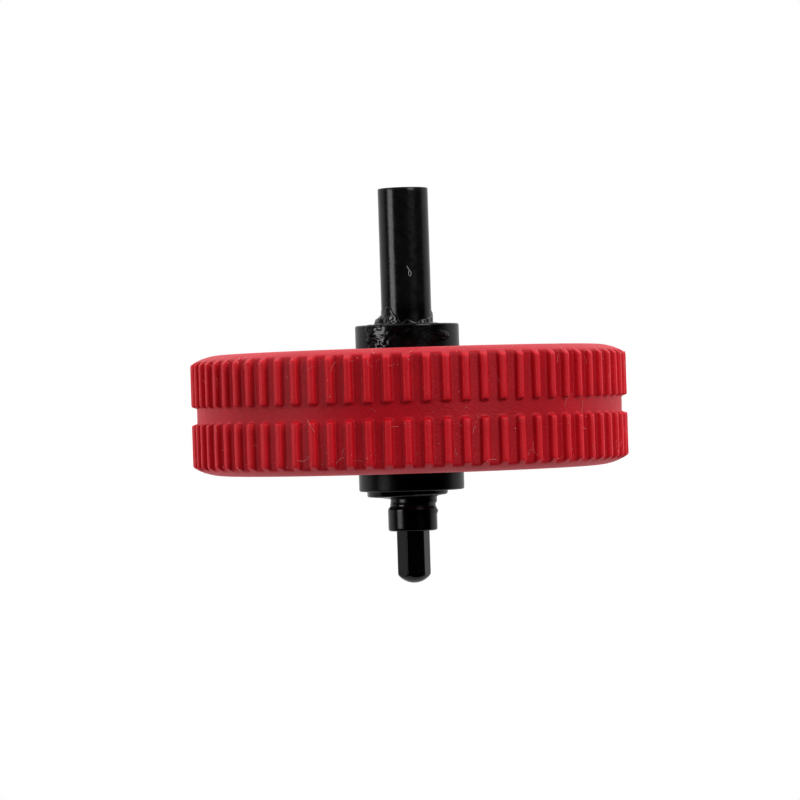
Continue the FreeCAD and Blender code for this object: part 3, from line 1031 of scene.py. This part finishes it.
def axis_distance(nodes, links):
    """Distance from the wheel's axis, in metres."""
    place = nodes.new("ShaderNodeTexCoord")
    flat = nodes.new("ShaderNodeVectorMath")
    flat.operation = "MULTIPLY"
    flat.inputs[1].default_value = (1, 1, 0)
    links.new(place.outputs["Object"], flat.inputs[0])
    length = nodes.new("ShaderNodeVectorMath")
    length.operation = "LENGTH"
    links.new(flat.outputs["Vector"], length.inputs[0])
    return length.outputs["Value"]


def rubber_material():
    """Red rubber: painted shade in the valleys, and crests paler from wear and a painted highlight."""
    material, nodes, links, shader = new_material("red_elastomer")
    broad = noise_at(nodes, links, 2.5)
    valley = blend_colours(nodes, links, broad, VALLEY_SHADE_REDS, 0.3, 0.7)
    crest = blend_colours(nodes, links, broad, CREST_WEAR_AND_HIGHLIGHT_REDS, 0.3, 0.7)
    from_axis = axis_distance(nodes, links)
    # From the valley floor out to the crests the colour goes from painted shade to wear with a painted
    # highlight.
    shade_to_highlight_share = ease(nodes, links, from_axis, floor_radius * MM, tyre_radius * MM, 1.0)
    mix = nodes.new("ShaderNodeMix")
    mix.data_type = "RGBA"
    links.new(shade_to_highlight_share, mix.inputs["Factor"])
    links.new(valley, mix.inputs["A"])
    links.new(crest, mix.inputs["B"])
    links.new(mix.outputs["Result"], shader.inputs["Base Color"])
    shader.inputs["Specular IOR Level"].default_value = 0.66
    grain = noise_at(nodes, links, 0.12)
    links.new(span(nodes, links, grain, 0.42, 0.6), shader.inputs["Roughness"])
    bump(nodes, links, shader, grain, 0.7, 0.035)
    return material


def plastic_material(name, low_roughness, high_roughness, pale_above):
    """Black moulded plastic that turns paler grey in patches above a height in millimetres."""
    material, nodes, links, shader = new_material(name)
    patches = blend_colours(nodes, links, noise_at(nodes, links, 0.5), PALE_PATCH_GREYS, 0.35, 0.7)
    place = nodes.new("ShaderNodeTexCoord")
    parts = nodes.new("ShaderNodeSeparateXYZ")
    links.new(place.outputs["Object"], parts.inputs["Vector"])
    pale_end = pale_above + PALE_FADE
    pale_share = ease(nodes, links, parts.outputs["Z"], pale_above * MM, pale_end * MM, 1.0)
    mix = nodes.new("ShaderNodeMix")
    mix.data_type = "RGBA"
    links.new(pale_share, mix.inputs["Factor"])
    mix.inputs["A"].default_value = (*MOULDED_BLACK, 1)
    links.new(patches, mix.inputs["B"])
    links.new(mix.outputs["Result"], shader.inputs["Base Color"])
    grain = noise_at(nodes, links, 0.25)
    links.new(span(nodes, links, grain, low_roughness, high_roughness), shader.inputs["Roughness"])
    bump(nodes, links, shader, grain, 0.15, 0.01)
    return material


def adhesive_material():
    """Glossy clear adhesive over black, a little cloudy in places."""
    material, nodes, links, shader = new_material("set_adhesive")
    cloudy = noise_at(nodes, links, 0.35)
    links.new(blend_colours(nodes, links, cloudy, ADHESIVE_GREYS, 0.52, 0.8), shader.inputs["Base Color"])
    shader.inputs["Specular IOR Level"].default_value = 0.7
    links.new(span(nodes, links, noise_at(nodes, links, 0.2), 0.1, 0.28), shader.inputs["Roughness"])
    bump(nodes, links, shader, noise_at(nodes, links, 0.15), 0.3, 0.015)
    return material


def pale_material(name, colours):
    """Dull, pale and a little uneven: lint, dust and the fleck."""
    material, nodes, links, shader = new_material(name)
    links.new(blend_colours(nodes, links, noise_at(nodes, links, 0.3), colours), shader.inputs["Base Color"])
    links.new(span(nodes, links, noise_at(nodes, links, 0.1), 0.6, 0.9), shader.inputs["Roughness"])
    return material


def paint(piece, material):
    """Give a piece one material."""
    piece.data.materials.clear()
    piece.data.materials.append(material)


# ---------------------------------------------------------------- studio

# Where each panel of the light tent begins, where it is full, and its brightness there. The places are
# parts of a unit direction: 1 is straight behind, straight up or straight to a side.
TENT_BEHIND = (-0.1, 0.3, 0.96)
TENT_EDGE = (0.12, 0.4, 1.0)
TENT_WINGS = (0.1, 0.6, 0.45)
TENT_ROOF = 0.32
SOFTBOXES = (
    # name, degrees to the right of the camera and up, distance, width, height, brightness
    ("left_softbox", -63, 3, 0.5, 0.22, 0.12, 5.8),
    ("right_softbox", 38, 24, 0.5, 0.25, 0.25, 4.8),
)
FLOOR_RADIUS = 0.26
FLOOR_DEPTH = 0.42
FLOOR_SIDES = 128
FLOOR_WHITE = 0.92
CAMERA_DISTANCE = 0.210
CAMERA_LENS = 157.5
CAMERA_ROLL = math.radians(1.78)
CAMERA_SHIFT_LEFT = 0.565
CAMERA_SHIFT_UP = 0.59
CAMERA_CONTRAST = 1.35


def make_floor():
    """A pale round floor well below the wheel, which lights it from underneath."""
    mesh = bpy.data.meshes.new("floor")
    angles = [FULL_TURN * side / FLOOR_SIDES for side in range(FLOOR_SIDES)]
    corners = [around(FLOOR_RADIUS, angle, -FLOOR_DEPTH) for angle in angles]
    mesh.from_pydata(corners, [], [tuple(range(FLOOR_SIDES))])
    floor = bpy.data.objects.new("floor", mesh)
    bpy.context.scene.collection.objects.link(floor)
    material, _, _, shader = new_material("pale_floor")
    shader.inputs["Base Color"].default_value = (FLOOR_WHITE, FLOOR_WHITE, FLOOR_WHITE, 1)
    shader.inputs["Roughness"].default_value = 0.9
    paint(floor, material)


def make_world():
    """A light tent: bright behind and above, dark in front and below. The camera itself sees plain white."""
    world = bpy.data.worlds.new("studio")
    bpy.context.scene.world = world
    world.use_nodes = True
    nodes = world.node_tree.nodes
    links = world.node_tree.links
    nodes.clear()
    place = nodes.new("ShaderNodeTexCoord")
    parts = nodes.new("ShaderNodeSeparateXYZ")
    links.new(place.outputs["Generated"], parts.inputs["Vector"])
    behind = ease(nodes, links, parts.outputs["Y"], *TENT_BEHIND)
    sideways = ease(nodes, links, calculate(nodes, links, "ABSOLUTE", parts.outputs["X"]), *TENT_WINGS)
    panel = calculate(nodes, links, "ADD", sideways, TENT_ROOF)
    above = calculate(nodes, links, "MULTIPLY", panel, ease(nodes, links, parts.outputs["Z"], *TENT_EDGE))
    total = calculate(nodes, links, "ADD", behind, above)
    lighting = nodes.new("ShaderNodeBackground")
    lighting.inputs["Color"].default_value = (1, 1, 1, 1)
    links.new(total, lighting.inputs["Strength"])
    backdrop = nodes.new("ShaderNodeBackground")
    backdrop.inputs["Color"].default_value = (1, 1, 1, 1)
    rays = nodes.new("ShaderNodeLightPath")
    choose = nodes.new("ShaderNodeMixShader")
    output = nodes.new("ShaderNodeOutputWorld")
    links.new(rays.outputs["Is Camera Ray"], choose.inputs["Fac"])
    links.new(lighting.outputs["Background"], choose.inputs[1])
    links.new(backdrop.outputs["Background"], choose.inputs[2])
    links.new(choose.outputs["Shader"], output.inputs["Surface"])


def add_softbox(name, side_angle, rise_angle, distance, width, height, brightness):
    """A soft light aimed at the wheel. Its angles are in degrees and its lengths in metres."""
    light = bpy.data.lights.new(name, "AREA")
    light.shape = "RECTANGLE"
    light.size = width
    light.size_y = height
    light.energy = brightness * math.pi * width * height
    lamp = bpy.data.objects.new(name, light)
    side = math.radians(side_angle)
    rise = math.radians(rise_angle)
    direction = Vector((math.sin(side) * math.cos(rise), -math.cos(side) * math.cos(rise), math.sin(rise)))
    lamp.location = direction * distance
    lamp.rotation_euler = direction.to_track_quat("Z", "Y").to_euler()
    bpy.context.scene.collection.objects.link(lamp)


def make_camera():
    """A camera in front of the wheel, rolled a little and moved a little to the left and up."""
    camera_data = bpy.data.cameras.new("camera")
    camera_data.lens = CAMERA_LENS
    camera_data.clip_start = 0.01
    camera_data.clip_end = 10
    camera = bpy.data.objects.new("camera", camera_data)
    right = Vector((math.cos(CAMERA_ROLL), 0, -math.sin(CAMERA_ROLL)))
    up = Vector((math.sin(CAMERA_ROLL), 0, math.cos(CAMERA_ROLL)))
    shift = up * CAMERA_SHIFT_UP * MM - right * CAMERA_SHIFT_LEFT * MM
    camera.location = Vector((0, -CAMERA_DISTANCE, 0)) + shift
    camera.rotation_euler = (math.pi / 2, CAMERA_ROLL, 0)
    bpy.context.scene.collection.objects.link(camera)
    bpy.context.scene.camera = camera


# ---------------------------------------------------------------- the wheel

def place_piece(piece, material, replaced=None):
    """Give a piece its material, and tie it to the frame."""
    paint(piece, material)
    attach(piece, "root")
    if replaced is not None:
        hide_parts(replaced)


adhesive = adhesive_material()
axle_plastic = plastic_material("axle_plastic", 0.14, 0.28, PALER_ABOVE_ON_AXLE)
hub_plastic = plastic_material("hub_plastic", 0.22, 0.36, PALER_ABOVE_ON_HUB)
lint = pale_material("lint", LINT_PINKS)
fleck = pale_material("fleck", FLECK_GREYS)
place_piece(make_tyre(), rubber_material(), "tyre")
place_piece(make_axle(), axle_plastic, "axle")
place_piece(make_adhesive(), adhesive, "adhesive_bead")
place_piece(make_underside_flash(), adhesive)
place_piece(make_lint(), lint)
place_piece(make_dust(), lint)
place_piece(make_fleck(), fleck)
place_piece(make_hub(), hub_plastic, "hub")

make_floor()
make_world()
for softbox in SOFTBOXES:
    add_softbox(*softbox)
make_camera()
bpy.context.scene.view_settings.view_transform = "Standard"
bpy.context.scene.view_settings.gamma = 1 / CAMERA_CONTRAST
